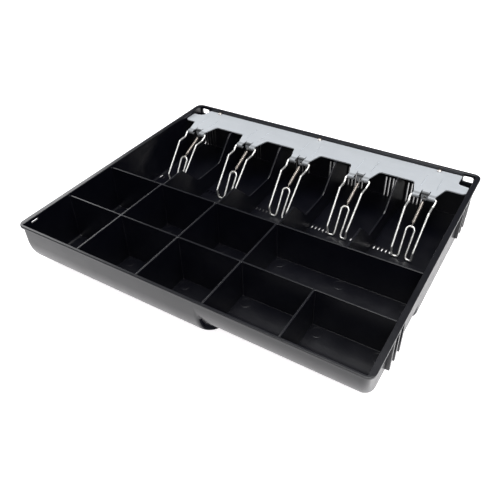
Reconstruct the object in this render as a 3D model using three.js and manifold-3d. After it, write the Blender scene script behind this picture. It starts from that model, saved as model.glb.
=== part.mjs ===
// Removable till tray insert: a moulded plastic tray with coin cups and bill compartments,
// a clip plate screwed along its back, and five sprung wire bill clips.
// Millimetres. Origin at the centre of the underside; +X to the right, -Y to the front, +Z up.

import * as THREE from 'three';
import Module from 'manifold-3d';

// Overall size and walls
const WIDTH = 370;
const DEPTH = 309.6;
const HEIGHT = 57;
const RIM_THICKNESS = 2.6;
const RIM_CORNER = 8;
const WALL_SIDE = 181.4;
const WALL_FRONT = -153.8;
const WALL_BACK = 154.0;
const INNER_SIDE = 179.4;
const INNER_FRONT = -151.6;
const INNER_BACK = 150.8;
const FLOOR = 2.0;
const RAISED_BASE = 11.3;
const RAISED_FLOOR = 13.3;
const SCOOP_RADIUS = 39;
const INNER_ROUND = 1.2;
const SIDE_FOOT = 8;
const BACK_FOOT = 4;

// Dividers and row walls
const DIVIDER_X = [-108.2, -37.2, 34.0, 106.6];
const DIVIDER_HALF = 1.0;
const ROW_WALL_BACK = -24.2;
const ROW_WALL_FRONT = -89.0;
const PARTITION_DROP = 2.3;
const STEP_X = 35.4;

// Clips, clip plate and springs
const CLIP_SHIFT = [-2.8, -1.7, -1.5, -1.2, -1.9];
const SLOT_SHIFT = -0.9;
const SLOT_HALF = 0.75;
const SLOT_SIDES = [[-1, 1], [-1, 1], [-1, 1], [-1, 1], [-1]];
const PLATE_TOP = HEIGHT - 3.5;
const PLATE_SHEET = 1.2;
const PIVOT_Y = 94.5;
const PIVOT_Z = HEIGHT - 6.1;
const CURL_RADIUS = 2.6;
const WIRE_RADIUS = 1.05;
const FINGER_HALF = 11.9;
const NOTCH_HALF = 4.8;
const TAB_FRONT = 99.2;
const ANCHOR_Y = 99.8;
const ANCHOR_Z = HEIGHT - 11.65;
const HOOK_Y = 66.5;
const HOOK_Z = HEIGHT - 26.0;
const SCREW_Y = 147.8;
const SCREW_CLEARANCE = 1.3;
const SCREW_FINGERS = [0, 2, 4];

const SIDE_EDGES = [-INNER_SIDE, ...DIVIDER_X, INNER_SIDE];
const COLUMNS = [];
for (let i = 0; i < 5; i += 1) {
  const left = SIDE_EDGES[i] + (i > 0 ? DIVIDER_HALF : 0);
  const right = SIDE_EDGES[i + 1] - (i < 4 ? DIVIDER_HALF : 0);
  const middle = (left + right) / 2;
  COLUMNS.push({ left, right, clip: middle + CLIP_SHIFT[i], slots: middle + SLOT_SHIFT });
}

const wasm = await Module();
wasm.setup();

// Convert a three.js geometry to a manifold solid
function toSolid(geometry) {
  const source = geometry.index ? geometry.toNonIndexed() : geometry;
  const positions = source.attributes.position;
  const lookup = new Map();
  const vertices = [];
  const triangles = [];
  for (let i = 0; i < positions.count; i += 3) {
    const corners = [];
    for (let k = 0; k < 3; k += 1) {
      const p = new THREE.Vector3().fromBufferAttribute(positions, i + k);
      const key = p.toArray().map((v) => Math.round(v * 1e4)).join(',');
      if (!lookup.has(key)) {
        lookup.set(key, vertices.length / 3);
        vertices.push(p.x, p.y, p.z);
      }
      corners.push(lookup.get(key));
    }
    if (new Set(corners).size === 3) {
      triangles.push(...corners);
    }
  }
  return new wasm.Manifold(new wasm.Mesh({
    numProp: 3,
    vertProperties: new Float32Array(vertices),
    triVerts: new Uint32Array(triangles),
  }));
}

// Convert a manifold solid back to a three.js geometry
function toGeometry(solid) {
  const mesh = solid.getMesh();
  const geometry = new THREE.BufferGeometry();
  geometry.setAttribute('position', new THREE.BufferAttribute(new Float32Array(mesh.vertProperties), 3));
  geometry.setIndex(new THREE.BufferAttribute(new Uint32Array(mesh.triVerts), 1));
  geometry.computeVertexNormals();
  return geometry;
}

function box(x0, x1, y0, y1, z0, z1) {
  const geometry = new THREE.BoxGeometry(x1 - x0, y1 - y0, z1 - z0);
  geometry.translate((x0 + x1) / 2, (y0 + y1) / 2, (z0 + z1) / 2);
  return toSolid(geometry);
}

function polygon(points) {
  return new THREE.Shape(points.map(([u, v]) => new THREE.Vector2(u, v)));
}

// A rectangle whose corners are rounded: [lower left, lower right, upper right, upper left].
// Each corner has its own number of facets.
function roundedShape(u0, u1, v0, v1, radii, facets = [3, 3, 3, 3]) {
  const corners = [[u0, v0, 1, 1], [u1, v0, -1, 1], [u1, v1, -1, -1], [u0, v1, 1, -1]];
  const points = [];
  corners.forEach(([u, v, inU, inV], i) => {
    const r = radii[i];
    const count = r > 0 ? facets[i] : 0;
    for (let k = 0; k <= count; k += 1) {
      const angle = Math.PI * (1 + i / 2) + (count > 0 ? (k / count) * Math.PI / 2 : 0);
      const offset = count > 0 ? [Math.cos(angle) * r, Math.sin(angle) * r] : [-inU * r, -inV * r];
      points.push([u + inU * r + offset[0], v + inV * r + offset[1]]);
    }
  });
  return polygon(points);
}

function extrude(shape, depth, segments) {
  return new THREE.ExtrudeGeometry(shape, { depth, bevelEnabled: false, curveSegments: segments });
}

// Extrude a plan-view shape upwards
function plan(shape, z0, z1, segments = 4) {
  const geometry = extrude(shape, z1 - z0, segments);
  geometry.translate(0, 0, z0);
  return toSolid(geometry);
}

// Extrude a side-view shape, drawn in Y and Z, along X
function sideways(shape, x0, x1, segments = 8) {
  const geometry = extrude(shape, x1 - x0, segments);
  geometry.rotateX(Math.PI / 2);
  geometry.rotateZ(Math.PI / 2);
  geometry.translate(x0, 0, 0);
  return toSolid(geometry);
}

// Extrude a front-view shape, drawn in X and Z, along Y
function depthways(shape, y0, y1, segments = 5) {
  const geometry = extrude(shape, y1 - y0, segments);
  geometry.rotateX(Math.PI / 2);
  geometry.translate(0, y1, 0);
  return toSolid(geometry);
}

// A block with rounded upright corners and filleted bottom edges
function roundedBlock(b) {
  const steps = b.steps ?? 2;
  const shape = roundedShape(b.x0, b.x1, b.y0, b.y1, b.corners, [steps, steps, steps, steps]);
  const upright = plan(shape, b.z0, b.z1);
  const frontSteps = b.front > 20 ? 8 : steps;
  const profile = roundedShape(
    b.y0 - 1, b.y1 + 1, b.z0, b.z1 + 1, [b.front + 1, b.back + 1, 0, 0], [frontSteps, steps, 0, 0],
  );
  const across = roundedShape(
    b.x0 - 0.5, b.x1 + 0.5, b.z0, b.z1 + 1, [b.left, b.right, 0, 0], [steps, steps, 0, 0],
  );
  const side = sideways(profile, b.x0 - 1, b.x1 + 1);
  const front = depthways(across, b.y0 - 1, b.y1 + 1);
  return upright.intersect(side).intersect(front);
}

// ---------------------------------------------------------------------------------------------
// Tray

function trayShell() {
  const leftHalf = roundedBlock({
    x0: -WALL_SIDE, x1: STEP_X, y0: WALL_FRONT, y1: WALL_BACK, z0: 0, z1: HEIGHT - 1,
    corners: [7, 9, 1, 7], front: SCOOP_RADIUS, back: BACK_FOOT, left: SIDE_FOOT, right: 6, steps: 4,
  });
  const backHalf = roundedBlock({
    x0: -WALL_SIDE, x1: WALL_SIDE, y0: ROW_WALL_BACK - 1.6, y1: WALL_BACK, z0: 0, z1: HEIGHT - 1,
    corners: [1, 3, 7, 7], front: 3, back: BACK_FOOT, left: SIDE_FOOT, right: SIDE_FOOT, steps: 4,
  });
  const raised = roundedBlock({
    x0: -WALL_SIDE, x1: WALL_SIDE, y0: WALL_FRONT, y1: WALL_BACK, z0: RAISED_BASE, z1: HEIGHT - 1,
    corners: Array(4).fill(7), front: SCOOP_RADIUS, back: BACK_FOOT, left: SIDE_FOOT, right: SIDE_FOOT,
    steps: 4,
  });
  const rimShape = roundedShape(
    -WIDTH / 2, WIDTH / 2, -DEPTH / 2, DEPTH / 2, Array(4).fill(RIM_CORNER), Array(4).fill(6),
  );
  const rim = plan(rimShape, HEIGHT - RIM_THICKNESS, HEIGHT);
  return leftHalf.add(backHalf).add(raised).add(rim);
}

// One compartment: a block to take out of the tray, with its front foot rounded as asked.
// Its foot follows the outside of the tray where it lies against a side wall.
function compartment(x0, x1, y0, y1, floor, front) {
  const sideFoot = SIDE_FOOT - FLOOR;
  return roundedBlock({
    x0, x1, y0, y1, z0: floor, z1: HEIGHT + 2, corners: Array(4).fill(INNER_ROUND),
    front, back: INNER_ROUND,
    left: x0 === -INNER_SIDE ? sideFoot : INNER_ROUND,
    right: x1 === INNER_SIDE ? sideFoot : INNER_ROUND,
  });
}

function cavities() {
  const scoop = SCOOP_RADIUS - 2;
  const frontRow = [INNER_FRONT, ROW_WALL_FRONT - 1];
  const middleRow = [ROW_WALL_FRONT + 1, ROW_WALL_BACK - 1];
  const bay = [ROW_WALL_BACK + 1, INNER_BACK];
  const hollows = [];
  COLUMNS.forEach(({ left, right }, i) => {
    const floor = i < 3 ? FLOOR : RAISED_FLOOR;
    hollows.push(compartment(left, right, ...frontRow, floor, scoop));
    if (i < 3) {
      hollows.push(compartment(left, right, ...middleRow, floor, INNER_ROUND));
    }
    hollows.push(compartment(left, right, ...bay, FLOOR, INNER_ROUND));
  });
  hollows.push(compartment(COLUMNS[3].left, COLUMNS[4].right, ...middleRow, RAISED_FLOOR, INNER_ROUND));
  return hollows;
}

// The lowered tops of all partitions, with the dip for fingers in the bill dividers
function partitionCuts() {
  const top = HEIGHT - PARTITION_DROP;
  const lowered = plan(
    roundedShape(-INNER_SIDE, INNER_SIDE, INNER_FRONT, INNER_BACK, Array(4).fill(INNER_ROUND)),
    top, HEIGHT + 2,
  );
  const dip = polygon([
    [ROW_WALL_BACK + 1, HEIGHT + 2], [ROW_WALL_BACK + 1, HEIGHT - 4.2], [10.6, HEIGHT - 4.2],
    [14.0, HEIGHT - 7.0], [38.0, HEIGHT - 31.0], [42.0, HEIGHT - 32.2], [82.0, HEIGHT - 32.2],
    [85.5, HEIGHT - 30.0], [105.5, HEIGHT - 9.0], [110.5, HEIGHT - 5.0],
    [INNER_BACK - 0.5, HEIGHT - 5.0], [INNER_BACK - 0.5, HEIGHT + 2],
  ]);
  return [lowered, sideways(dip, -INNER_SIDE + 2.5, INNER_SIDE - 2.5, 1)];
}

// Slots through the floor and the back wall of each bill compartment
function billSlots() {
  const cuts = [];
  COLUMNS.forEach((column, i) => {
    SLOT_SIDES[i].forEach((side) => {
      for (let n = 0; n < 5; n += 1) {
        const x = column.slots + side * (14.4 + 4.4 * n);
        const slot = [x - SLOT_HALF, x + SLOT_HALF];
        cuts.push(box(...slot, 49, 55.2, -1, FLOOR + 1));
        cuts.push(box(...slot, INNER_BACK - 2.6, WALL_BACK + 2, -1, HEIGHT - 30));
      }
    });
  });
  return cuts;
}

function lockOpenings() {
  const cuts = [];
  [-1, 1].forEach((side) => {
    const middle = side * 172.2;
    const hole = roundedShape(middle - 5.4, middle + 5.4, HEIGHT - 11.2, HEIGHT - 3.2, Array(4).fill(2));
    cuts.push(depthways(hole, INNER_BACK - 3, WALL_BACK + 3));
    cuts.push(box(side * 180 - 3, side * 180 + 3, -141.6, -133.2, HEIGHT - 5.2, HEIGHT - 3.2));
  });
  return cuts;
}

// Upright ribs on the side walls and bosses for the plate screws
function trayRibs() {
  const ribs = [];
  const ribFronts = [-109.5, -98.2, -86.9, 86.0, 97.3, 108.6];
  ribFronts.forEach((y) => {
    [-1, 1].forEach((side) => {
      const outer = [side * 184.9, side * 180.2].sort((a, b) => a - b);
      ribs.push(box(outer[0], outer[1], y, y + 2.8, HEIGHT - 38.6, HEIGHT - 1.5));
    });
  });
  SCREW_FINGERS.forEach((i) => {
    const boss = new THREE.CylinderGeometry(3.6, 4.4, 20, 16);
    boss.rotateX(Math.PI / 2);
    boss.translate(COLUMNS[i].clip, SCREW_Y, HEIGHT - 15);
    ribs.push(toSolid(boss));
    const web = [COLUMNS[i].clip - 1.2, COLUMNS[i].clip + 1.2];
    ribs.push(box(...web, SCREW_Y, INNER_BACK + 1, HEIGHT - 25, HEIGHT - 5));
  });
  return ribs;
}

function buildTray() {
  let tray = trayShell();
  const cuts = [...cavities(), ...partitionCuts()];
  cuts.forEach((cut) => {
    tray = tray.subtract(cut);
  });
  trayRibs().forEach((rib) => {
    tray = tray.add(rib);
  });
  [...billSlots(), ...lockOpenings()].forEach((cut) => {
    tray = tray.subtract(cut);
  });
  SCREW_FINGERS.forEach((i) => {
    const pilot = new THREE.CylinderGeometry(SCREW_CLEARANCE, SCREW_CLEARANCE, 14, 12);
    pilot.rotateX(Math.PI / 2);
    pilot.translate(COLUMNS[i].clip, SCREW_Y, HEIGHT - 10);
    tray = tray.subtract(toSolid(pilot));
  });
  return toGeometry(tray);
}

// ---------------------------------------------------------------------------------------------
// Clip plate

function plateOutline() {
  const shape = new THREE.Shape();
  shape.moveTo(-178.2, 117.6);
  shape.lineTo(-178.2, 133.0);
  shape.lineTo(-168.6, 134.2);
  shape.lineTo(-165.2, 137.0);
  shape.lineTo(-163.2, 149.8);
  shape.lineTo(166.2, 149.8);
  shape.lineTo(166.2, 133.6);
  shape.lineTo(168.6, 131.2);
  shape.lineTo(178.2, 129.8);
  shape.lineTo(178.2, 117.6);
  shape.lineTo(175.6, 115.2);
  for (let i = 4; i >= 0; i -= 1) {
    const x = COLUMNS[i].clip;
    shape.lineTo(x + 18.8, 115.2);
    shape.quadraticCurveTo(x + 16.4, 115.2, x + 15.8, 112.4);
    shape.lineTo(x + FINGER_HALF, 98.0);
    shape.lineTo(x + FINGER_HALF, PIVOT_Y);
    shape.lineTo(x + NOTCH_HALF, PIVOT_Y);
    shape.lineTo(x + NOTCH_HALF, TAB_FRONT);
    shape.lineTo(x - NOTCH_HALF, TAB_FRONT);
    shape.lineTo(x - NOTCH_HALF, PIVOT_Y);
    shape.lineTo(x - FINGER_HALF, PIVOT_Y);
    shape.lineTo(x - FINGER_HALF, 98.0);
    shape.lineTo(x - 15.8, 112.4);
    shape.quadraticCurveTo(x - 16.4, 115.2, x - 18.8, 115.2);
  }
  shape.lineTo(-175.6, 115.2);
  return shape;
}

// The rolled foot that holds one end of a clip: a C in side view, open at its back
function curlProfile() {
  const inner = CURL_RADIUS - PLATE_SHEET;
  const start = Math.PI / 2;
  const end = Math.PI * 1.8;
  const shape = new THREE.Shape();
  shape.absarc(PIVOT_Y, PIVOT_Z, CURL_RADIUS, start, end);
  shape.absarc(PIVOT_Y, PIVOT_Z, inner, end, start, true);
  shape.lineTo(PIVOT_Y + 1, PIVOT_Z + inner);
  shape.lineTo(PIVOT_Y + 1, PIVOT_Z + CURL_RADIUS);
  return shape;
}

function buildPlate() {
  let plate = plan(plateOutline(), PLATE_TOP - PLATE_SHEET, PLATE_TOP, 4);
  const hookHole = new THREE.CylinderGeometry(1.3, 1.3, 6, 12);
  hookHole.translate(0, TAB_FRONT, ANCHOR_Z + 2.05);
  COLUMNS.forEach(({ clip }) => {
    plate = plate.add(sideways(curlProfile(), clip + NOTCH_HALF, clip + FINGER_HALF, 5));
    plate = plate.add(sideways(curlProfile(), clip - FINGER_HALF, clip - NOTCH_HALF, 5));
    const tab = polygon([
      [clip - 4.4, PLATE_TOP - 0.5], [clip - 3.2, HEIGHT - 12.4], [clip + 3.2, HEIGHT - 12.4],
      [clip + 4.4, PLATE_TOP - 0.5],
    ]);
    plate = plate.add(depthways(tab, TAB_FRONT, TAB_FRONT + PLATE_SHEET, 1));
    plate = plate.subtract(toSolid(hookHole.clone().translate(clip, 0, 0)));
  });
  SCREW_FINGERS.forEach((i) => {
    const hole = new THREE.CylinderGeometry(SCREW_CLEARANCE, SCREW_CLEARANCE, 6, 12);
    hole.rotateX(Math.PI / 2);
    hole.translate(COLUMNS[i].clip, SCREW_Y, PLATE_TOP);
    plate = plate.subtract(toSolid(hole));
  });
  return toGeometry(plate);
}

// ---------------------------------------------------------------------------------------------
// Wires

// A curve that passes through given stations, one per ring of the sweep
class StationCurve extends THREE.Curve {
  constructor(stations) {
    super();
    this.stations = stations;
  }

  getPoint(t) {
    const last = this.stations.length - 1;
    const u = Math.min(Math.max(t, 0), 1) * last;
    const i = Math.min(Math.floor(u), last - 1);
    return this.stations[i].clone().lerp(this.stations[i + 1], u - i);
  }

  getPointAt(u) {
    return this.getPoint(u);
  }

  getTangentAt(u) {
    const step = 0.5 / (this.stations.length - 1);
    return this.getPoint(u + step).sub(this.getPoint(u - step)).normalize();
  }
}

// Stations along a bent line, with each bend turned into an arc-like curve
function bentLine(points, radius, steps) {
  const stations = [points[0]];
  for (let i = 1; i < points.length - 1; i += 1) {
    const before = points[i - 1].clone().sub(points[i]);
    const after = points[i + 1].clone().sub(points[i]);
    const reach = Math.min(radius, before.length() * 0.48, after.length() * 0.48);
    const start = points[i].clone().add(before.setLength(reach));
    const end = points[i].clone().add(after.setLength(reach));
    const bend = new THREE.QuadraticBezierCurve3(start, points[i], end);
    stations.push(...bend.getPoints(steps));
  }
  stations.push(points[points.length - 1]);
  return stations;
}

function sweep(stations, radius, sides) {
  const section = new THREE.Shape();
  section.absarc(0, 0, radius, 0, Math.PI * 2);
  return new THREE.ExtrudeGeometry(section, {
    extrudePath: new StationCurve(stations),
    steps: stations.length - 1,
    curveSegments: sides / 2,
    bevelEnabled: false,
  });
}

// Half of the clip's wire, from its end in the rolled foot to the middle of the inner U
function clipHalf(side) {
  const at = (x, y, z) => new THREE.Vector3(side * x, y, HEIGHT + z);
  return [
    at(6.6, PIVOT_Y, -6.1), at(13.3, PIVOT_Y, -6.1), at(13.3, 91.6, -8.0), at(12.6, 87.2, -10.8),
    at(12.5, 74.9, -11.1), at(11.1, 44.8, -42.6), at(10.5, 46.2, -51.4), at(9.6, 46.8, -53.6),
    at(4.6, 47.2, -53.6), at(3.7, 48.6, -51.2), at(4.3, 64.6, -28.4), at(2.2, HOOK_Y, -26.0),
  ];
}

function buildClip(centre) {
  const right = clipHalf(1);
  const left = clipHalf(-1).reverse();
  const stations = bentLine([...right, ...left], 2.6, 2);
  const geometry = sweep(stations, WIRE_RADIUS, 6);
  geometry.translate(centre, 0, 0);
  return toGeometry(toSolid(geometry));
}

// A close-wound extension spring with a ring at each end, drawn as a solid sleeve
function buildSpring(centre) {
  const anchor = new THREE.Vector3(0, ANCHOR_Y, ANCHOR_Z);
  const hook = new THREE.Vector3(0, HOOK_Y, HOOK_Z);
  const along = hook.clone().sub(anchor);
  const length = along.length();
  const rings = [0, length].map((z) => {
    const ring = new THREE.TorusGeometry(1.8, 0.45, 5, 12);
    ring.rotateY(Math.PI / 2);
    ring.translate(0, 0, z);
    return toSolid(ring);
  });
  const sleeve = new THREE.CylinderGeometry(1.75, 1.75, length - 9, 12);
  sleeve.rotateX(Math.PI / 2);
  sleeve.translate(0, 0, length / 2);
  const necks = [3.1, length - 3.1].map((z) => {
    const neck = new THREE.CylinderGeometry(0.45, 0.45, 3.4, 6);
    neck.rotateX(Math.PI / 2);
    neck.translate(0, 0, z);
    return toSolid(neck);
  });
  const solid = rings.concat(necks).reduce((sum, piece) => sum.add(piece), toSolid(sleeve));
  const geometry = toGeometry(solid);
  const turn = new THREE.Quaternion().setFromUnitVectors(new THREE.Vector3(0, 0, 1), along.normalize());
  geometry.applyQuaternion(turn);
  geometry.translate(centre, ANCHOR_Y, ANCHOR_Z);
  return geometry;
}

function buildScrew(centre) {
  const profile = [
    [0, -9.0], [0.6, -8.8], [1.0, -7.6], [1.0, 0.3], [2.3, 0.3],
    [2.25, 0.7], [1.85, 1.3], [1.1, 1.7], [0, 1.8],
  ];
  const screw = new THREE.LatheGeometry(profile.map(([r, z]) => new THREE.Vector2(r, z)), 16);
  screw.rotateX(Math.PI / 2);
  screw.translate(centre, SCREW_Y, PLATE_TOP);
  return toGeometry(toSolid(screw));
}

// ---------------------------------------------------------------------------------------------
// Assembly

const group = new THREE.Group();
group.name = 'till_tray_insert';

function addMesh(name, geometry, color, metalness, roughness) {
  const mesh = new THREE.Mesh(geometry, new THREE.MeshStandardMaterial({ color, metalness, roughness }));
  mesh.name = name;
  group.add(mesh);
}

addMesh('tray', buildTray(), 0x17181a, 0.0, 0.4);
addMesh('clip_plate', buildPlate(), 0xd5dade, 0.9, 0.35);
COLUMNS.forEach(({ clip }, i) => {
  addMesh(`bill_clip_${i + 1}`, buildClip(clip), 0xe8e8e6, 1.0, 0.15);
  addMesh(`clip_spring_${i + 1}`, buildSpring(clip), 0xb8ab9c, 1.0, 0.3);
});
SCREW_FINGERS.forEach((i, n) => {
  addMesh(`plate_screw_${n + 1}`, buildScrew(COLUMNS[i].clip), 0xd0d4d8, 1.0, 0.25);
});

export default group;
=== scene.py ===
"""Looks for a removable till tray: moulded plastic tray, zinc clip plate and sprung wire bill clips.

Every piece is built in millimetres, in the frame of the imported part, and scaled to metres when
its mesh is made. The origin is the centre of the underside; +X right, -Y front, +Z up.
"""

import math

import bmesh
import bpy
from mathutils import Matrix, Vector


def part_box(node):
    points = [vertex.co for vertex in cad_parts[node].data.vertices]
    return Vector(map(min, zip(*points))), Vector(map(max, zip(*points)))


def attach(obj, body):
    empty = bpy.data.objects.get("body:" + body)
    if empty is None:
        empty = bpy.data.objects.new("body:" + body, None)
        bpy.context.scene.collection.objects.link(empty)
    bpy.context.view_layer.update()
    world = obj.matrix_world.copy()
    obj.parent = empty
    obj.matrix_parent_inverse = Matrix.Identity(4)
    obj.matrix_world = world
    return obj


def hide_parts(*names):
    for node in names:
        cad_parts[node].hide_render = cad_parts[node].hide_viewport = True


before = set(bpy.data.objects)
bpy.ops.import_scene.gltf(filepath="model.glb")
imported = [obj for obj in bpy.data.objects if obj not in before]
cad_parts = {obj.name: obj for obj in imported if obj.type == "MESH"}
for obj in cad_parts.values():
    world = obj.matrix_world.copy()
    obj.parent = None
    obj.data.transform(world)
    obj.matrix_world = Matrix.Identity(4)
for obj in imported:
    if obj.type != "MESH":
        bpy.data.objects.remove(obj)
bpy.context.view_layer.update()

MM = 0.001

# Tray sizes
HALF_WIDTH = 185.0
HALF_DEPTH = 154.8
HEIGHT = 57.0
RIM_THICKNESS = 2.6
RIM_CORNER = 8.0
WALL_SIDE = 181.4
WALL_FRONT = -153.8
WALL_BACK = 154.0
INNER_SIDE = 179.4
INNER_FRONT = -151.6
INNER_BACK = 150.8
FLOOR = 2.0
RAISED_BASE = 11.3
RAISED_FLOOR = 13.3
SCOOP_RADIUS = 39.0
DIVIDER_X = (-108.2, -37.2, 34.0, 106.6)
DIVIDER_HALF = 1.0
ROW_WALL_BACK = -24.2
ROW_WALL_FRONT = -89.0
PARTITION_TOP = HEIGHT - 2.3
STEP_X = 35.4
WALL_CORNER = 7.0
STEP_CORNER = 9.0
STEP_FOOT = 6.0
SIDE_FOOT = 8.0
BACK_FOOT = 4.0
SCOOP_AXIS = (WALL_FRONT + SCOOP_RADIUS, RAISED_BASE + SCOOP_RADIUS)

# Roundings inside the tray and along its edges
RIM_ROUND = 0.75
EDGE_ROUND = 0.6
INNER_ROUND = 0.7
INNER_FOOT = 0.25
INNER_SIDE_FOOT = 3.5

# Slots, ribs, bosses and openings. Each bay has slot groups on the sides listed for it.
SLOT_HALF = 0.75
SLOT_START = 14.4
SLOT_PITCH = 4.4
SLOT_SHIFT = -0.9
SLOT_SIDES = ((-1, 1), (-1, 1), (-1, 1), (-1, 1), (-1,))
FLOOR_SLOT_Y = (49.0, 55.2)
BACK_SLOT_TOP = HEIGHT - 30.0
RIB_FRONTS = (-109.5, -98.2, -86.9, 86.0, 97.3, 108.6)
RIB_WIDTH = 2.8
RIB_OUTSIDE = 184.9
RIB_BOTTOM = HEIGHT - 38.6
BOSS_BOTTOM = HEIGHT - 25.0
BOSS_TOP = HEIGHT - 5.0
LOCK_X = 172.2
SIDE_SLOT_Y = (-141.6, -133.2)
PIN_INWARD = 7.5

# Clip plate, clips and springs
PLATE_TOP = HEIGHT - 3.5
PLATE_SHEET = 1.2
PIVOT_Y = 94.5
PIVOT_Z = HEIGHT - 6.1
CURL_RADIUS = 2.6
WIRE_RADIUS = 1.05
FINGER_HALF = 11.9
FINGER_ROOT_HALF = 17.0
NOTCH_HALF = 4.8
TAB_HALF = 3.9
TAB_FRONT = 99.2
TAB_BOTTOM = HEIGHT - 12.4
ANCHOR = (99.8, HEIGHT - 11.65)
HOOK = (66.5, HEIGHT - 26.0)
SCREW_Y = 147.8
SCREW_CLEARANCE = 1.3
CREASE_OUTWARD = 8.3
CREASE_Y = (106.0, 137.0)


# ---------------------------------------------------------------------------------------------
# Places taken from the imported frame

def middle_x(node):
    low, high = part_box(node)
    return (low.x + high.x) / 2 / MM


CLIP_X = [middle_x(f"bill_clip_{n}") for n in range(1, 6)]
SCREW_X = [middle_x(f"plate_screw_{n}") for n in range(1, 4)]
EDGES = (-INNER_SIDE, *DIVIDER_X, INNER_SIDE)
COLUMNS = [
    (EDGES[i] + (DIVIDER_HALF if i > 0 else 0), EDGES[i + 1] - (DIVIDER_HALF if i < 4 else 0))
    for i in range(5)
]


# ---------------------------------------------------------------------------------------------
# Meshes

def mesh_of(vertices, faces):
    """A mesh in metres from points in millimetres."""
    mesh = bpy.data.meshes.new("work")
    mesh.from_pydata([Vector(v) * MM for v in vertices], [], faces)
    mesh.update()
    return mesh


def joined(meshes):
    """Separate closed shells in one mesh."""
    work = bmesh.new()
    for mesh in meshes:
        work.from_mesh(mesh)
    result = bpy.data.meshes.new("work")
    work.to_mesh(result)
    work.free()
    return result


def boolean(base, other, operation):
    """The union, difference or intersection of two closed meshes."""
    holders = [bpy.data.objects.new("work", mesh) for mesh in (base, other)]
    for holder in holders:
        bpy.context.scene.collection.objects.link(holder)
    modifier = holders[0].modifiers.new("boolean", "BOOLEAN")
    modifier.solver = "MANIFOLD"
    modifier.operation = operation
    modifier.object = holders[1]
    depsgraph = bpy.context.evaluated_depsgraph_get()
    result = bpy.data.meshes.new_from_object(holders[0].evaluated_get(depsgraph))
    for holder in holders:
        bpy.data.objects.remove(holder)
    if not result.polygons:
        raise RuntimeError(f"{operation} left an empty mesh")
    return result


def loft(rings):
    """A closed solid through rings of equally many points, capped at both ends."""
    count = len(rings[0])
    vertices = [point for ring in rings for point in ring]
    faces = [list(range(count))[::-1]]
    for level in range(len(rings) - 1):
        low = level * count
        for k in range(count):
            after = (k + 1) % count
            faces.append([low + k, low + after, low + count + after, low + count + k])
    top = (len(rings) - 1) * count
    faces.append(list(range(top, top + count)))
    return mesh_of(vertices, faces)


def rounded_ring(x0, x1, y0, y1, radii, z, facets=6):
    """A rounded rectangle, counter-clockwise from its front left corner."""
    points = []
    corners = ((x0, y0, 1, 1), (x1, y0, -1, 1), (x1, y1, -1, -1), (x0, y1, 1, -1))
    for i, (x, y, inward_x, inward_y) in enumerate(corners):
        for k in range(facets + 1):
            angle = math.pi * (1 + i / 2) + k / facets * math.pi / 2
            points.append((
                x + (inward_x + math.cos(angle)) * radii[i],
                y + (inward_y + math.sin(angle)) * radii[i],
                z,
            ))
    return points


def inset_at(radius, height):
    """How far a fillet of this radius stands in from the wall at a height above its foot."""
    if radius <= height:
        return 0.0
    return radius - math.sqrt(radius * radius - (radius - height) ** 2)


def fillet_levels(radius, steps):
    return [radius * (1 - math.cos(math.pi / 2 * k / steps)) for k in range(steps + 1)]


def basin(x, y, z0, z1, feet, corners, flare=(0, 0, 0, 0), flare_top=None):
    """An upright block with a filleted foot and, if asked, a mouth that flares by a quarter round.

    Feet and flare hold the radius at the front, right, back and left side.
    """
    levels = {z0, z1}
    for radius in set(feet):
        steps = 22 if radius > 20 else 6
        levels.update(round(z0 + h, 4) for h in fillet_levels(radius, steps))
    spread = max(flare)
    if spread > 0:
        levels.update(round(flare_top - h, 4) for h in fillet_levels(spread, 4))
    rings = []
    for z in sorted(levels):
        inset = [inset_at(radius, z - z0) for radius in feet]
        if spread > 0 and z > flare_top - spread:
            depth = max(flare_top - z, 0)
            inset = [i - inset_at(r, depth) for i, r in zip(inset, flare)]
        side = max(min(inset[1], inset[3]), 0)
        radii = [max(r - side, 0.35) for r in corners]
        rings.append(rounded_ring(
            x[0] + inset[3], x[1] - inset[1], y[0] + inset[0], y[1] - inset[2], radii, z,
        ))
    return loft(rings)


def cuboid(x0, x1, y0, y1, z0, z1):
    corners = [(x, y) for x, y in ((x0, y0), (x1, y0), (x1, y1), (x0, y1))]
    return loft([[(x, y, z) for x, y in corners] for z in (z0, z1)])


def prism_x(outline, x0, x1):
    """An outline in Y and Z, counter-clockwise seen from +X, drawn out along X."""
    return loft([[(x, y, z) for y, z in outline] for x in (x0, x1)])


def prism_y(outline, y0, y1):
    """An outline in X and Z, counter-clockwise seen from the front, drawn out along Y."""
    return loft([[(x, y, z) for x, z in outline] for y in (y1, y0)])


def cylinder(x, y, z0, z1, low_radius, high_radius=None, sides=32):
    high_radius = low_radius if high_radius is None else high_radius
    rings = []
    for z, radius in ((z0, low_radius), (z1, high_radius)):
        turn = [2 * math.pi * k / sides for k in range(sides)]
        rings.append([(x + radius * math.cos(a), y + radius * math.sin(a), z) for a in turn])
    return loft(rings)


def bevelled(mesh, width, segments=2, angle=40):
    """The mesh with its sharp edges rounded off."""
    work = bmesh.new()
    work.from_mesh(mesh)
    limit = math.radians(angle)
    edges = [e for e in work.edges if len(e.link_faces) == 2 and e.calc_face_angle(0) > limit]
    bmesh.ops.bevel(
        work, geom=edges, offset=width * MM, segments=segments, profile=0.5, affect="EDGES",
        clamp_overlap=True,
    )
    result = bpy.data.meshes.new("work")
    work.to_mesh(result)
    work.free()
    return result


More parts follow.
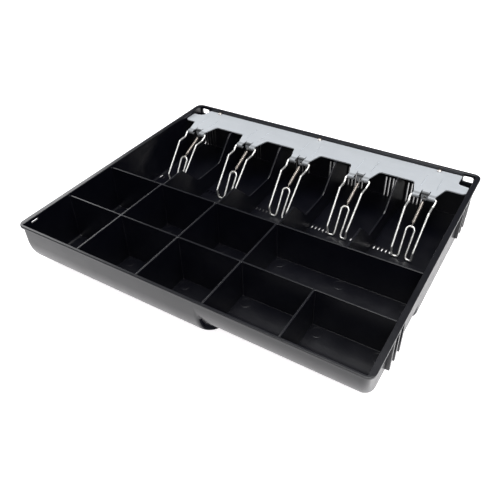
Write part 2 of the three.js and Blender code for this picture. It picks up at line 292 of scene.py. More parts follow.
def add_piece(name, mesh, material, body, nodes, sharp=35):
    """Puts a finished mesh in the scene, smooth except at its sharp edges, riding on its body."""
    work = bmesh.new()
    work.from_mesh(mesh)
    bmesh.ops.remove_doubles(work, verts=work.verts, dist=1e-7)
    bmesh.ops.dissolve_limit(
        work, angle_limit=math.radians(0.3), verts=work.verts, edges=work.edges, delimit=set(),
    )
    limit = math.radians(sharp)
    for face in work.faces:
        face.smooth = True
    for edge in work.edges:
        edge.smooth = len(edge.link_faces) == 2 and edge.calc_face_angle(0) < limit
    final = bpy.data.meshes.new(name)
    work.to_mesh(final)
    work.free()
    piece = bpy.data.objects.new(name, final)
    bpy.context.scene.collection.objects.link(piece)
    final.materials.append(material)
    weighted = piece.modifiers.new("flat faces stay flat", "WEIGHTED_NORMAL")
    weighted.keep_sharp = True
    weighted.weight = 90
    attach(piece, body)
    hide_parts(*nodes)
    return piece


# ---------------------------------------------------------------------------------------------
# Wires

def bent(points, radius, steps=8):
    """A path of straight stretches joined by round bends."""
    points = [Vector(p) for p in points]
    radii = radius if isinstance(radius, (list, tuple)) else [radius] * (len(points) - 2)
    path = [points[0]]
    for i in range(1, len(points) - 1):
        before = points[i - 1] - points[i]
        after = points[i + 1] - points[i]
        half = before.angle(after) / 2
        reach = min(radii[i - 1] / math.tan(half), before.length * 0.49, after.length * 0.49)
        turn = reach * math.tan(half)
        centre = points[i] + (before.normalized() + after.normalized()).normalized() * (
            turn / math.sin(half)
        )
        start = points[i] + before.normalized() * reach - centre
        end = points[i] + after.normalized() * reach - centre
        for k in range(steps + 1):
            path.append(centre + start.slerp(end, k / steps).normalized() * turn)
    path.append(points[-1])
    return path


def sweep(path, radius, sides=16):
    """A round wire along a path, with slightly rounded ends."""
    path = [Vector(p) for p in path]
    first = (path[1] - path[0]).normalized()
    last = (path[-1] - path[-2]).normalized()
    ease = radius * 0.35
    stations = [(path[0], radius - ease), (path[0] + first * ease, radius)]
    stations += [(p, radius) for p in path[1:-1]]
    stations += [(path[-1] - last * ease, radius), (path[-1], radius - ease)]
    centres = [p for p, _ in stations]
    normal = first.orthogonal().normalized()
    rings = []
    for i, (centre, size) in enumerate(stations):
        tangent = (centres[min(i + 1, len(centres) - 1)] - centres[max(i - 1, 0)]).normalized()
        normal = (normal - tangent * normal.dot(tangent)).normalized()
        other = tangent.cross(normal)
        rings.append([
            centre + (normal * math.cos(2 * math.pi * k / sides)
                      + other * math.sin(2 * math.pi * k / sides)) * size
            for k in range(sides)
        ])
    return loft(rings)


# ---------------------------------------------------------------------------------------------
# Materials

def material(name):
    made = bpy.data.materials.new(name)
    made.use_nodes = True
    nodes = made.node_tree.nodes
    nodes.clear()
    shader = nodes.new("ShaderNodeBsdfPrincipled")
    output = nodes.new("ShaderNodeOutputMaterial")
    made.node_tree.links.new(shader.outputs["BSDF"], output.inputs["Surface"])
    return made, shader


def noise(made, scale, detail=4.0, roughness=0.5, stretch=(1, 1, 1)):
    """Noise in the piece's own coordinates. Scale is in cells per metre."""
    nodes, links = made.node_tree.nodes, made.node_tree.links
    place = nodes.new("ShaderNodeTexCoord")
    mapping = nodes.new("ShaderNodeMapping")
    mapping.inputs["Scale"].default_value = stretch
    texture = nodes.new("ShaderNodeTexNoise")
    texture.inputs["Scale"].default_value = scale
    texture.inputs["Detail"].default_value = detail
    texture.inputs["Roughness"].default_value = roughness
    links.new(place.outputs["Object"], mapping.inputs["Vector"])
    links.new(mapping.outputs["Vector"], texture.inputs["Vector"])
    return texture.outputs["Fac"]


def between(made, factor, low, high):
    """Maps a 0 to 1 value to the range low to high."""
    node = made.node_tree.nodes.new("ShaderNodeMapRange")
    node.inputs["From Min"].default_value = 0.3
    node.inputs["From Max"].default_value = 0.7
    node.inputs["To Min"].default_value = low
    node.inputs["To Max"].default_value = high
    made.node_tree.links.new(factor, node.inputs["Value"])
    return node.outputs["Result"]


def mixed(made, factor, first, second):
    """A colour between two colours."""
    node = made.node_tree.nodes.new("ShaderNodeMix")
    node.data_type = "RGBA"
    node.inputs["A"].default_value = (*first, 1)
    node.inputs["B"].default_value = (*second, 1)
    made.node_tree.links.new(factor, node.inputs["Factor"])
    return node.outputs["Result"]


def bump(made, height, strength, distance, under=None):
    """Relief of a real depth in metres, on top of another relief if given."""
    node = made.node_tree.nodes.new("ShaderNodeBump")
    node.inputs["Strength"].default_value = strength
    node.inputs["Distance"].default_value = distance
    made.node_tree.links.new(height, node.inputs["Height"])
    if under is not None:
        made.node_tree.links.new(under, node.inputs["Normal"])
    return node.outputs["Normal"]


def calculated(made, operation, *values):
    """A number worked out from sockets or constants."""
    node = made.node_tree.nodes.new("ShaderNodeMath")
    node.operation = operation
    for socket, value in zip(node.inputs, values):
        if isinstance(value, (int, float)):
            socket.default_value = value
        else:
            made.node_tree.links.new(value, socket)
    return node.outputs[0]


def ramp(made, value, start, end):
    """0 below start and 1 above end, smoothly between."""
    node = made.node_tree.nodes.new("ShaderNodeMapRange")
    node.interpolation_type = "SMOOTHSTEP"
    node.inputs["From Min"].default_value = start
    node.inputs["From Max"].default_value = end
    made.node_tree.links.new(value, node.inputs["Value"])
    return node.outputs["Result"]


def object_place(made):
    """The x, y and z of a point in metres, in the piece's own frame."""
    nodes, links = made.node_tree.nodes, made.node_tree.links
    place = nodes.new("ShaderNodeTexCoord")
    split = nodes.new("ShaderNodeSeparateXYZ")
    links.new(place.outputs["Object"], split.inputs["Vector"])
    return split.outputs["X"], split.outputs["Y"], split.outputs["Z"]


def opposite(made, value):
    return calculated(made, "SUBTRACT", 1.0, value)


def step_corner(made):
    """1 on the round corner at the step in the underside, 0 elsewhere, fading out to its left. The plastic
    is made rougher there as painted shade.
    """
    x, y, z = object_place(made)
    ahead = calculated(made, "SUBTRACT", y, SCOOP_AXIS[0] * MM)
    above = calculated(made, "SUBTRACT", z, SCOOP_AXIS[1] * MM)
    squares = calculated(made, "MULTIPLY", ahead, ahead)
    squares = calculated(made, "MULTIPLY_ADD", above, above, squares)
    beyond_scoop = ramp(made, calculated(made, "SQRT", squares), 0.0392, 0.0405)
    low = opposite(made, ramp(made, z, 0.034, 0.042))
    in_front = opposite(made, ramp(made, y, -0.11, -0.10))
    corner = calculated(made, "MULTIPLY", beyond_scoop, ramp(made, x, 0.025, 0.0335))
    return calculated(made, "MULTIPLY", corner, calculated(made, "MULTIPLY", low, in_front))


def black_plastic(name, index):
    """Fine-grained moulded plastic with a given refractive index, rougher in the step's corner as painted
    shade.
    """
    made, shader = material(name)
    links = made.node_tree.links
    cloud = noise(made, 30, detail=3)
    links.new(mixed(made, cloud, (0.0011, 0.0012, 0.0036), (0.0019, 0.0021, 0.0052)),
              shader.inputs["Base Color"])
    moulded = between(made, noise(made, 60, detail=5), 0.28, 0.35)
    links.new(calculated(made, "MAXIMUM", moulded, step_corner(made)), shader.inputs["Roughness"])
    shader.inputs["IOR"].default_value = index
    wave = bump(made, noise(made, 45, detail=1), 0.12, 0.00015)
    grain = bump(made, noise(made, 2600, detail=2), 0.35, 0.00003, under=wave)
    links.new(grain, shader.inputs["Normal"])
    return made


def zinc_sheet(name, painted_shade_factor):
    """Plated sheet. The colour is scaled by a painted shade factor worked out from the place."""
    made, shader = material(name)
    links = made.node_tree.links
    colour = mixed(made, noise(made, 70, detail=6), (0.66, 0.69, 0.72), (0.71, 0.735, 0.765))
    scaled = made.node_tree.nodes.new("ShaderNodeVectorMath")
    scaled.operation = "SCALE"
    links.new(colour, scaled.inputs[0])
    links.new(painted_shade_factor(made), scaled.inputs["Scale"])
    links.new(scaled.outputs["Vector"], shader.inputs["Base Color"])
    links.new(between(made, noise(made, 240, detail=4, stretch=(0.15, 1, 1)), 0.66, 0.72),
              shader.inputs["Roughness"])
    shader.inputs["Metallic"].default_value = 1.0
    rolled = bump(made, noise(made, 1800, detail=3, stretch=(0.05, 1, 1)), 0.25, 0.00002)
    links.new(rolled, shader.inputs["Normal"])
    return made


def shaded_rolled_feet(made):
    """Painted shade: the colour is darker where the sheet is rolled round the wires, to tone down their
    highlight.
    """
    behind_feet = ramp(made, object_place(made)[1], 0.0965, 0.099)
    return calculated(made, "MULTIPLY_ADD", behind_feet, 0.36, 0.64)


def shaded_tab_fold(made):
    """Painted shade on the tab: darkest along its fold and lighter towards its lower edge."""
    below = opposite(made, ramp(made, object_place(made)[2], 0.0495, 0.0515))
    return calculated(made, "MULTIPLY_ADD", below, 0.6, 0.28)


def floor_with_painted_shadow():
    """A white table that glows as if back-lit. It carries a painted shadow where the tray stands on it,
    painted shade close behind the tray, painted light under the bay slots and a glow painted brighter
    close in front of the tray.

    Places are in metres from the tray's centre.
    """
    made, shader = material("floor_with_painted_shadow")
    links = made.node_tree.links
    x, y, _ = object_place(made)
    # Masks for the painted light: 1 on the open floor, 0.45 just behind the tray as painted shade, 0 under
    # it as painted shadow, lit in a strip under the bay slots as painted light.
    forward = calculated(made, "MULTIPLY", y, -1.0)
    right_half = ramp(made, x, -0.09, 0.05)
    beside = ramp(made, calculated(made, "ABSOLUTE", x), 0.166, 0.178)
    before = ramp(made, forward, 0.110, 0.126)
    behind = calculated(made, "MULTIPLY", ramp(made, y, 0.150, 0.160), right_half)
    behind = calculated(made, "MULTIPLY", behind, 0.45)
    under_slots = calculated(made, "COMPARE", y, 0.054, 0.012)
    under_slots = calculated(made, "MULTIPLY", under_slots, right_half)
    close = opposite(made, ramp(made, forward, 0.165, 0.225))
    outside = calculated(made, "MAXIMUM", beside, before)
    outside = calculated(made, "MAXIMUM", outside, ramp(made, y, 0.196, 0.215))
    lit = calculated(made, "MAXIMUM", outside, calculated(made, "MAXIMUM", behind, under_slots))
    # Painted shadow: the base colour is near black where the mask is 0 under the tray.
    links.new(mixed(made, lit, (0.03, 0.03, 0.03), (0.8, 0.8, 0.8)), shader.inputs["Base Color"])
    shader.inputs["Roughness"].default_value = 0.9
    shader.inputs["Emission Color"].default_value = (1, 0.975, 0.99, 1)
    # Painted glow: the floor's own light is off under the tray, dim just behind it and brighter close in
    # front of it.
    painted_glow = calculated(made, "MAXIMUM", outside, calculated(made, "MULTIPLY", lit, 0.7))
    painted_glow = calculated(made, "MULTIPLY", painted_glow, calculated(made, "MULTIPLY_ADD", close, 0.52, 0.28))
    links.new(painted_glow, shader.inputs["Emission Strength"])
    return made


def metal(name, dark, light, rough, scale, grain):
    made, shader = material(name)
    links = made.node_tree.links
    links.new(mixed(made, noise(made, scale, detail=4), dark, light), shader.inputs["Base Color"])
    links.new(between(made, noise(made, scale * 3, detail=3), *rough), shader.inputs["Roughness"])
    shader.inputs["Metallic"].default_value = 1.0
    links.new(bump(made, noise(made, 3000, detail=2), grain, 0.00001), shader.inputs["Normal"])
    return made


# ---------------------------------------------------------------------------------------------
# Tray

def tray_shell():
    """The outside of the tray: the deep front left part, the back part, the raised part and the rim."""
    front_half = basin(
        (-WALL_SIDE, STEP_X), (WALL_FRONT, WALL_BACK), 0, HEIGHT - 1,
        feet=(SCOOP_RADIUS, STEP_FOOT, BACK_FOOT, SIDE_FOOT),
        corners=(WALL_CORNER, STEP_CORNER, 1, WALL_CORNER),
    )
    back_half = basin(
        (-WALL_SIDE, WALL_SIDE), (ROW_WALL_BACK - 1.6, WALL_BACK), 0, HEIGHT - 1,
        feet=(3, SIDE_FOOT, BACK_FOOT, SIDE_FOOT), corners=(1, 3, WALL_CORNER, WALL_CORNER),
    )
    raised = basin(
        (-WALL_SIDE, WALL_SIDE), (WALL_FRONT, WALL_BACK), RAISED_BASE, HEIGHT - 1,
        feet=(SCOOP_RADIUS, SIDE_FOOT, BACK_FOOT, SIDE_FOOT), corners=[WALL_CORNER] * 4,
    )
    rings = []
    for height in fillet_levels(0.5, 3):
        inset = inset_at(0.5, height)
        rings.append((inset, HEIGHT - RIM_THICKNESS + height))
    for height in reversed(fillet_levels(RIM_ROUND, 5)):
        rings.append((inset_at(RIM_ROUND, height), HEIGHT - height))
    rim = loft([
        rounded_ring(
            inset - HALF_WIDTH, HALF_WIDTH - inset, inset - HALF_DEPTH, HALF_DEPTH - inset,
            [RIM_CORNER - inset] * 4, z, facets=12,
        )
        for inset, z in rings
    ])
    shell = boolean(front_half, back_half, "UNION")
    shell = boolean(shell, raised, "UNION")
    return boolean(shell, rim, "UNION")


def compartment(x, y, floor, front, lips):
    """One cup or bay, with round lips where it meets a partition.

    Its foot is rounder where it lies against a side wall, as the tray is outside.
    """
    left = INNER_SIDE_FOOT if x[0] == -INNER_SIDE else INNER_FOOT
    right = INNER_SIDE_FOOT if x[1] == INNER_SIDE else INNER_FOOT
    return basin(
        x, y, floor, HEIGHT + 2, feet=(front, right, INNER_FOOT, left), corners=[INNER_ROUND] * 4,
        flare=[EDGE_ROUND * lip for lip in lips], flare_top=PARTITION_TOP,
    )


def hollows():
    """The cups and bill bays."""
    front_row = (INNER_FRONT, ROW_WALL_FRONT - 1)
    middle_row = (ROW_WALL_FRONT + 1, ROW_WALL_BACK - 1)
    bay = (ROW_WALL_BACK + 1, INNER_BACK)
    made = []
    for i, column in enumerate(COLUMNS):
        floor = FLOOR if i < 3 else RAISED_FLOOR
        right, left = int(i < 4), int(i > 0)
        made.append(compartment(column, front_row, floor, SCOOP_RADIUS - 2, (0, right, 1, left)))
        if i < 3:
            made.append(compartment(column, middle_row, floor, INNER_FOOT, (1, right, 1, left)))
        made.append(compartment(column, bay, FLOOR, INNER_FOOT, (1, 0, 0, 0)))
    wide = (COLUMNS[3][0], COLUMNS[4][1])
    made.append(compartment(wide, middle_row, RAISED_FLOOR, INNER_FOOT, (1, 0, 1, 1)))
    return joined(made)


def rim_mouth():
    """The opening inside the rim, down to the tops of the partitions."""
    rings = []
    for height in reversed(fillet_levels(RIM_ROUND, 5)):
        outset = inset_at(RIM_ROUND, height)
        rings.append((outset, HEIGHT - height))
    rings = [(0, PARTITION_TOP)] + rings + [(RIM_ROUND, HEIGHT + 3)]
    return loft([
        rounded_ring(
            -INNER_SIDE - outset, INNER_SIDE + outset, INNER_FRONT - outset, INNER_BACK + outset,
            [INNER_ROUND + outset] * 4, z,
        )
        for outset, z in rings
    ])


def divider_profile(drop):
    """The top line of a bill divider in Y and Z, with the dip that leaves room for fingers."""
    points = [
        (ROW_WALL_BACK + 1, -4.2), (10.6, -4.2), (14.0, -7.0), (38.0, -31.0), (42.0, -32.2),
        (82.0, -32.2), (85.5, -30.0), (105.5, -9.0), (110.5, -5.0), (INNER_BACK - 0.5, -5.0),
    ]
    corners = [(0, y, z) for y, z in points]
    radii = [3, 3, 6, 4, 4, 6, 6, 4]
    path = bent(corners, radii, steps=4)
    return [(p.y, HEIGHT + p.z - drop) for p in path]


def dip_cut():
    """The space above the bill dividers' dips."""
    line = divider_profile(1.2)
    outline = line + [(INNER_BACK - 0.5, HEIGHT + 2), (ROW_WALL_BACK + 1, HEIGHT + 2)]
    return prism_x(outline, -INNER_SIDE + 2.5, INNER_SIDE - 2.5)


def divider_tops():
    """The upper edge of each bill divider, rounded along its whole line."""
    stations = (0.4, 0.66, 0.85, 0.96, 1.0)
    made = []
    line = divider_profile(0)
    outline = [(ROW_WALL_BACK + 0.5, FLOOR + 6), (INNER_BACK + 1, FLOOR + 6)]
    outline += [(INNER_BACK + 1, line[-1][1])] + line[::-1] + [(ROW_WALL_BACK + 0.5, line[0][1])]
    for x in DIVIDER_X:
        rings = []
        for across in [-station for station in stations[::-1]] + list(stations):
            overhang = max(abs(across) - 1 + EDGE_ROUND, 0)
            lower = EDGE_ROUND - math.sqrt(max(EDGE_ROUND ** 2 - overhang ** 2, 0))
            place = x + across * DIVIDER_HALF
            rings.append([
                (place, y, z - (lower if k > 1 else 0)) for k, (y, z) in enumerate(outline)
            ])
        made.append(loft(rings))
    return joined(made)


def ribs():
    """Upright ribs outside the side walls."""
    made = []
    for y in RIB_FRONTS:
        for side in (-1, 1):
            x0, x1 = sorted((side * RIB_OUTSIDE, side * (WALL_SIDE - 1.2)))
            rib = cuboid(x0, x1, y, y + RIB_WIDTH, RIB_BOTTOM, HEIGHT - 1.5)
            made.append(bevelled(rib, 0.3))
    return joined(made)


def bosses():
    """The screw bosses against the back wall, each with a web behind it."""
    made = []
    for x in SCREW_X:
        post = cylinder(x, SCREW_Y, BOSS_BOTTOM, BOSS_TOP, 4.4, 3.6)
        web = cuboid(x - 1.2, x + 1.2, SCREW_Y, INNER_BACK + 1, BOSS_BOTTOM, BOSS_TOP)
        made.append(boolean(post, web, "UNION"))
    return joined(made)


def slots():
    """Slots through the floor and back wall of each bay, lock openings, side slots and pilot holes."""
    cuts = []
    for (left, right), sides in zip(COLUMNS, SLOT_SIDES):
        for side, n in [(side, n) for side in sides for n in range(5)]:
            x = (left + right) / 2 + SLOT_SHIFT + side * (SLOT_START + SLOT_PITCH * n)
            slot = (x - SLOT_HALF, x + SLOT_HALF)
            cuts.append(cuboid(*slot, *FLOOR_SLOT_Y, -1, FLOOR + 1))
            cuts.append(cuboid(*slot, INNER_BACK - 2.6, WALL_BACK + 2, -1, BACK_SLOT_TOP))
    for side in (-1, 1):
        lock_x, wall_x = side * LOCK_X, side * 180
        hole = [
            (x, z) for x, z, _ in rounded_ring(
                lock_x - 5.4, lock_x + 5.4, HEIGHT - 11.2, HEIGHT - 3.2, [2] * 4, 0,
            )
        ]
        cuts.append(prism_y(hole, INNER_BACK - 3, WALL_BACK + 3))
        cuts.append(cuboid(wall_x - 3, wall_x + 3, *SIDE_SLOT_Y, HEIGHT - 5.2, HEIGHT - 3.2))
    for x in SCREW_X:
        cuts.append(cylinder(x, SCREW_Y, HEIGHT - 17, HEIGHT - 3, SCREW_CLEARANCE))
    return joined(cuts)


def ring_groove(x, y, floor):
    """A shallow round groove with sloping sides."""
    section = [(5.0, 0.02), (5.5, -0.16), (6.0, 0.02)]
    sides = 48
    vertices = []
    for k in range(sides):
        angle = 2 * math.pi * k / sides
        for radius, z in section:
            vertices.append((x + radius * math.cos(angle), y + radius * math.sin(angle), floor + z))
    faces = []
    for k in range(sides):
        here, after = 3 * k, 3 * ((k + 1) % sides)
        for i in range(3):
            j = (i + 1) % 3
            faces.append([here + i, after + i, after + j, here + j])
    return mesh_of(vertices, faces)


def pin_marks():
    """Shallow rings left by the mould's ejector pins in the back corners of each cup."""
    marks = []
    for i, (left, right) in enumerate(COLUMNS):
        floor = FLOOR if i < 3 else RAISED_FLOOR
        for x in (left + PIN_INWARD, right - PIN_INWARD):
            marks.append((x, ROW_WALL_FRONT - 1 - PIN_INWARD, floor))
            if i < 3:
                marks.append((x, ROW_WALL_BACK - 1 - PIN_INWARD, floor))
    wide_left, wide_right = COLUMNS[3][0], COLUMNS[4][1]
    for x in (wide_left + PIN_INWARD, (wide_left + wide_right) / 2, wide_right - PIN_INWARD):
        marks.append((x, ROW_WALL_BACK - 1 - PIN_INWARD, RAISED_FLOOR))
    return joined([ring_groove(x, y, floor) for x, y, floor in marks])


def in_step_corner(centre):
    """Whether a face's centre, in mm, is on the sunken side of the step's round corner."""
    from_axis = math.hypot(centre.y - SCOOP_AXIS[0], centre.z - SCOOP_AXIS[1])
    return 31.5 < centre.x < 36 and centre.y < -105 and centre.z < 36 and from_axis > 39.4


def build_tray(finish, shaded_step_finish):
    """The whole tray, with painted shade in the step's corner: a copy of the plastic with a low refractive
    index.
    """
    tray = tray_shell()
    for cut in (hollows(), rim_mouth(), dip_cut()):
        tray = boolean(tray, cut, "DIFFERENCE")
    for extra in (divider_tops(), ribs(), bosses()):
        tray = boolean(tray, extra, "UNION")
    for cut in (slots(), pin_marks()):
        tray = boolean(tray, cut, "DIFFERENCE")
    piece = add_piece("moulded_tray", tray, finish, "frame", ["tray"], sharp=32)
    # Painted shade: faces in the step's corner take the low-index copy of the plastic.
    piece.data.materials.append(shaded_step_finish)
    for face in piece.data.polygons:
        if in_step_corner(face.center / MM):
            face.material_index = 1
    return piece


# ---------------------------------------------------------------------------------------------
# Clip plate

def plate_outline():
    """The plate's outline in X and Y, counter-clockwise. The path holds each corner's X, Y and radius."""
    path = [(-175.6, 115.2, 1.5)]
    for x in CLIP_X:
        path += [
            (x - FINGER_ROOT_HALF, 115.2, 3.2), (x - FINGER_HALF, 97.6, 1.0), (x - FINGER_HALF, PIVOT_Y, 0),
            (x - NOTCH_HALF, PIVOT_Y, 0), (x - NOTCH_HALF, 103.6, 0), (x - 4.4, 104.6, 0),
            (x - TAB_HALF, 103.6, 0), (x - TAB_HALF, 101.0, 0), (x + TAB_HALF, 101.0, 0),
            (x + TAB_HALF, 103.6, 0), (x + 4.4, 104.6, 0), (x + NOTCH_HALF, 103.6, 0),
            (x + NOTCH_HALF, PIVOT_Y, 0), (x + FINGER_HALF, PIVOT_Y, 0),
            (x + FINGER_HALF, 97.6, 1.0), (x + FINGER_ROOT_HALF, 115.2, 3.2),
        ]
    path += [
        (175.6, 115.2, 1.5), (178.2, 117.6, 1.5), (178.2, 129.8, 1.2), (168.6, 131.2, 1.0),
        (166.2, 133.6, 1.0), (166.2, 149.8, 1.0), (-163.2, 149.8, 1.0), (-165.2, 137.0, 2.0),
        (-168.6, 134.2, 2.0), (-178.2, 133.0, 1.2), (-178.2, 117.6, 1.5),
    ]
    points = [Vector((x, y, 0)) for x, y, _ in path]
    outline = []
    for i, (x, y, radius) in enumerate(path):
        if radius == 0:
            outline.append((x, y))
            continue
        trio = [points[i - 1], points[i], points[(i + 1) % len(points)]]
        outline += [(p.x, p.y) for p in bent(trio, radius, steps=6)[1:-1]]
    return outline


def curl_outline():
    """The rolled foot that holds the clip's wire: a C in Y and Z, open at its back."""
    start, end, steps = math.pi / 2, math.pi * 1.8, 24
    turn = [start + (end - start) * k / steps for k in range(steps + 1)]
    inner = CURL_RADIUS - PLATE_SHEET
    outline = [
        (PIVOT_Y + CURL_RADIUS * math.cos(a), PIVOT_Z + CURL_RADIUS * math.sin(a)) for a in turn
    ]
    outline += [(PIVOT_Y + inner * math.cos(a), PIVOT_Z + inner * math.sin(a)) for a in turn[::-1]]
    outline += [(PIVOT_Y + 1, PIVOT_Z + inner), (PIVOT_Y + 1, PIVOT_Z + CURL_RADIUS)]
    return outline


def strip_outline(path, thickness):
    """A sheet bent along a path in Y and Z."""
    sides = ([], [])
    for i, point in enumerate(path):
        along = (path[min(i + 1, len(path) - 1)] - path[max(i - 1, 0)]).normalized()
        across = Vector((0, -along.z, along.y)) * thickness / 2
        sides[0].append(point + across)
        sides[1].append(point - across)
    return [(p.y, p.z) for p in sides[0] + sides[1][::-1]]


def build_plate(finish, shaded_tab_finish):
    """The plate with its rolled feet, folded tabs, holes and creases."""
    outline = plate_outline()
    levels = (PLATE_TOP - PLATE_SHEET, PLATE_TOP)
    plate = loft([[(x, y, z) for x, y in outline] for z in levels])
    middle = PLATE_TOP - PLATE_SHEET / 2
    fold = bent(
        [(0, 103.5, middle), (0, TAB_FRONT + 0.6, middle), (0, TAB_FRONT + 0.6, TAB_BOTTOM)], 0.9,
        steps=6,
    )
    for x in CLIP_X:
        for side in (-1, 1):
            near, far = sorted((x + side * NOTCH_HALF, x + side * FINGER_HALF))
            plate = boolean(plate, prism_x(curl_outline(), near, far), "UNION")
        tab = prism_x(strip_outline(fold, PLATE_SHEET)[::-1], x - TAB_HALF, x + TAB_HALF)
        trim = prism_y(
            [(x - 4.2, PLATE_TOP + 1), (x - 4.2, PLATE_TOP - 2), (x - 3.2, TAB_BOTTOM + 0.8),
             (x - 2.4, TAB_BOTTOM), (x + 2.4, TAB_BOTTOM), (x + 3.2, TAB_BOTTOM + 0.8),
             (x + 4.2, PLATE_TOP - 2), (x + 4.2, PLATE_TOP + 1)],
            TAB_FRONT - 4, TAB_FRONT + 8,
        )
        plate = boolean(plate, boolean(tab, trim, "INTERSECT"), "UNION")
    cuts = []
    for x in CLIP_X:
        hole = cylinder(0, 0, -3, 3, 1.3, sides=24)
        hole.transform(
            Matrix.Translation(Vector((x, TAB_FRONT, ANCHOR[1] + 2.05)) * MM)
            @ Matrix.Rotation(math.pi / 2, 4, "X")
        )
        cuts.append(hole)
        for side in (-1, 1):
            cuts.append(crease(x + side * CREASE_OUTWARD, *CREASE_Y))
    for x in SCREW_X:
        cuts.append(cylinder(x, SCREW_Y, PLATE_TOP - 3, PLATE_TOP + 3, SCREW_CLEARANCE))
    plate = boolean(plate, joined(cuts), "DIFFERENCE")
    plate = bevelled(plate, 0.12, segments=2, angle=50)
    sheet = add_piece(
        "clip_plate_sheet", plate, finish, "frame", ["clip_plate"], sharp=40,
    )
    # The tabs take the copy of the zinc finish with painted shade.
    sheet.data.materials.append(shaded_tab_finish)
    for face in sheet.data.polygons:
        x, y, _ = face.center / MM
        if y < 101.6 and min(abs(x - clip) for clip in CLIP_X) < TAB_HALF + 0.2:
            face.material_index = 1
    return sheet


def crease(x, y0, y1):
    """A shallow score line pressed into the top of the plate."""
    wide, deep = 0.5, 0.45
    outline = [(x - wide, PLATE_TOP + 0.02), (x, PLATE_TOP - deep), (x + wide, PLATE_TOP + 0.02)]
    middle = (y0 + y1) / 2
    rings = []
    for y, share in ((y1, 0.05), (y1 - 4, 1.0), (middle, 1.0), (y0 + 4, 1.0), (y0, 0.05)):
        rings.append([
            (x + (px - x) * share, y, PLATE_TOP + 0.02 + (pz - PLATE_TOP - 0.02) * share)
            for px, pz in outline
        ])
    return loft(rings)


# ---------------------------------------------------------------------------------------------
# Clips, springs and screws

def clip_path(x):
    """A clip's wire from one bent end to the other. Heights in its half are below the tray's top."""
    half = [
        (6.6, PIVOT_Y, -6.1), (13.3, PIVOT_Y, -6.1), (13.3, 91.6, -8.0), (12.6, 87.2, -10.8),
        (12.5, 74.9, -11.1), (11.1, 44.8, -42.6), (10.5, 46.2, -51.4), (9.6, 46.8, -53.6),
        (4.6, 47.2, -53.6), (3.7, 48.6, -51.2), (4.3, 64.6, -28.4), (2.2, HOOK[0], -26.0),
    ]
    right = [(x + px, py, HEIGHT + pz) for px, py, pz in half]
    left = [(x - px, py, HEIGHT + pz) for px, py, pz in half][::-1]
    return bent(right + left, 2.6, steps=8)


def spring_path(x):
    """A close-wound spring with a hook at each end, from the plate's tab to the clip's inner U."""
    top = Vector((x, *ANCHOR))
    foot = Vector((x, *HOOK))
    along = (foot - top).normalized()
    length = (foot - top).length
    side = Vector((1, 0, 0))
    up = along.cross(side)
    loop, coil, pitch, start = 1.75, 1.5, 0.62, 5.0
    turns = round((length - 2 * start) / pitch)
    points = hook(top, along, up, loop)
    steps = 14
    for k in range(turns * steps + 1):
        angle = 2 * math.pi * k / steps
        offset = side * math.sin(angle) + up * math.cos(angle)
        share = k / (turns * steps)
        points.append(top + along * (start + (length - 2 * start) * share) + offset * coil)
    points += hook(foot, -along, up, loop)[::-1]
    return points


def hook(centre, along, up, radius):
    """A round loop about centre that ends in a neck along the spring's axis."""
    points = []
    for k in range(21):
        angle = math.radians(40 + 300 * k / 20)
        points.append(centre + along * radius * math.cos(angle) + up * radius * math.sin(angle))
    points.append(centre + along * (radius + 0.9) + up * -0.15)
    points.append(centre + along * (radius + 1.9) + up * 0.7)
    return points


def build_clips(wire, coil):
    for n, x in enumerate(CLIP_X, start=1):
        add_piece(
            f"bill_clip_wire_{n}", sweep(clip_path(x), WIRE_RADIUS), wire,
            f"clip_{n}", [f"bill_clip_{n}"],
        )
        add_piece(
            f"clip_spring_coil_{n}", sweep(spring_path(x), 0.3, sides=8), coil,
            f"spring_{n}", [f"clip_spring_{n}"], sharp=60,
        )


def screw_mesh(x):
    """A pan head screw with a cross recess and a tapered thread core."""
    profile = [
        (0.05, -9.0), (0.6, -8.8), (1.0, -7.6), (1.0, 0.3), (2.5, 0.3), (2.65, 0.4), (2.65, 0.65),
        (2.5, 1.0), (2.2, 1.35), (1.75, 1.62), (1.1, 1.76), (0.05, 1.8),
    ]
    sides = 40
    rings = []
    for radius, z in profile:
        turn = [2 * math.pi * k / sides for k in range(sides)]
        rings.append([
            (x + radius * math.cos(a), SCREW_Y + radius * math.sin(a), PLATE_TOP + z) for a in turn
        ])
    body = loft(rings)
    long, wide, floor = 1.15, 0.26, PLATE_TOP + 0.9
    cross = boolean(
        cuboid(x - long, x + long, SCREW_Y - wide, SCREW_Y + wide, floor, floor + 3),
        cuboid(x - wide, x + wide, SCREW_Y - long, SCREW_Y + long, floor, floor + 3), "UNION",
    )
    cross.transform(
        Matrix.Translation(Vector((x, SCREW_Y, 0)) * MM)
        @ Matrix.Rotation(math.radians(28), 4, "Z")
        @ Matrix.Translation(Vector((-x, -SCREW_Y, 0)) * MM)
    )
    return boolean(body, cross, "DIFFERENCE")


def build_screws(finish):
    for n, x in enumerate(SCREW_X, start=1):
        add_piece(
            f"pan_head_screw_{n}", screw_mesh(x), finish, "frame",
            [f"plate_screw_{n}"],
        )


# ---------------------------------------------------------------------------------------------
# Stage

def add_floor():
    size = 6.0
    mesh = bpy.data.meshes.new("floor")
    mesh.from_pydata([(-size, -size, 0), (size, -size, 0), (size, size, 0), (-size, size, 0)], [],
                     [(0, 1, 2, 3)])
    floor = bpy.data.objects.new("floor", mesh)
    bpy.context.scene.collection.objects.link(floor)
    floor.location.z = -0.0002
    mesh.materials.append(floor_with_painted_shadow())


def add_light(name, place, aim, size, power, colour=(1, 1, 1)):
    data = bpy.data.lights.new(name, "AREA")
    data.shape = "RECTANGLE"
    data.size, data.size_y = size
    data.energy = power
    data.color = colour
    lamp = bpy.data.objects.new(name, data)
    bpy.context.scene.collection.objects.link(lamp)
    lamp.location = place
    lamp.rotation_mode = "QUATERNION"
    lamp.rotation_quaternion = (Vector(aim) - Vector(place)).to_track_quat("-Z", "Y")


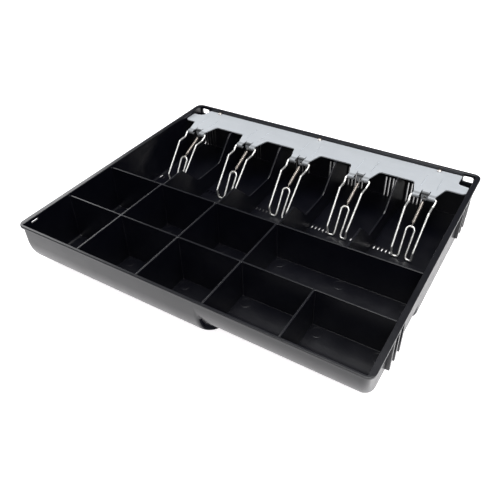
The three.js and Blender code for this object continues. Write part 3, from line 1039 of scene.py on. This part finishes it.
def add_lights():
    world = bpy.data.worlds.new("studio")
    world.use_nodes = True
    background = world.node_tree.nodes["Background"]
    background.inputs["Color"].default_value = (0.92, 0.95, 1.0, 1)
    background.inputs["Strength"].default_value = 0.14
    bpy.context.scene.world = world
    add_light("overhead", (0.2, 0.0, 1.5), (0, 0, 0), (1.2, 1.2), 24)
    add_light("left", (-1.5, 0.6, 0.7), (0, 0, 0.03), (0.8, 0.8), 9)
    add_light("right", (1.4, -0.2, 0.9), (0.1, 0, 0.03), (0.9, 0.9), 4)
    add_light("front", (0.5, -1.3, 1.1), (0, 0.05, 0.03), (0.9, 0.9), 10)


def add_camera():
    """The photograph's viewpoint: direction, tilt, distance and lens."""
    azimuth, elevation, roll = (math.radians(a) for a in (32.459, 39.637, -1.702))
    place = Vector((242.23, -401.44, 378.07)) * MM
    back = Vector((
        math.sin(azimuth) * math.cos(elevation), -math.cos(azimuth) * math.cos(elevation),
        math.sin(elevation),
    ))
    right = (-back).cross(Vector((0, 0, 1))).normalized()
    up = right.cross(-back).normalized()
    tilted_right = right * math.cos(roll) + up * math.sin(roll)
    tilted_up = up * math.cos(roll) - right * math.sin(roll)
    turn = Matrix((tilted_right, tilted_up, back)).transposed().to_4x4()
    data = bpy.data.cameras.new("camera")
    data.sensor_width = 36.0
    data.lens = 39.82
    data.clip_start, data.clip_end = 0.01, 50
    camera = bpy.data.objects.new("camera", data)
    bpy.context.scene.collection.objects.link(camera)
    camera.matrix_world = Matrix.Translation(place) @ turn
    bpy.context.scene.camera = camera


# ---------------------------------------------------------------------------------------------
# Assembly

add_camera()
add_lights()
add_floor()
bpy.context.scene.view_settings.view_transform = "Standard"

# The step's copy of the plastic has a low refractive index, as painted shade.
build_tray(black_plastic("tray_black_plastic", 1.585), black_plastic("step_shade_black_plastic", 1.15))
# Zinc finishes with painted shade: darker on the plate's rolled feet, darkest on the tabs along their fold.
build_plate(zinc_sheet("plate_zinc_sheet", shaded_rolled_feet), zinc_sheet("shaded_tab_zinc_sheet", shaded_tab_fold))
build_clips(
    metal("clip_bright_wire", (0.93, 0.92, 0.89), (0.97, 0.965, 0.94), (0.40, 0.50), 300, 0.1),
    metal("spring_bare_wire", (0.50, 0.45, 0.41), (0.66, 0.61, 0.56), (0.25, 0.4), 500, 0.2),
)
build_screws(metal("screw_zinc", (0.80, 0.75, 0.72), (0.88, 0.84, 0.80), (0.30, 0.40), 400, 0.2))
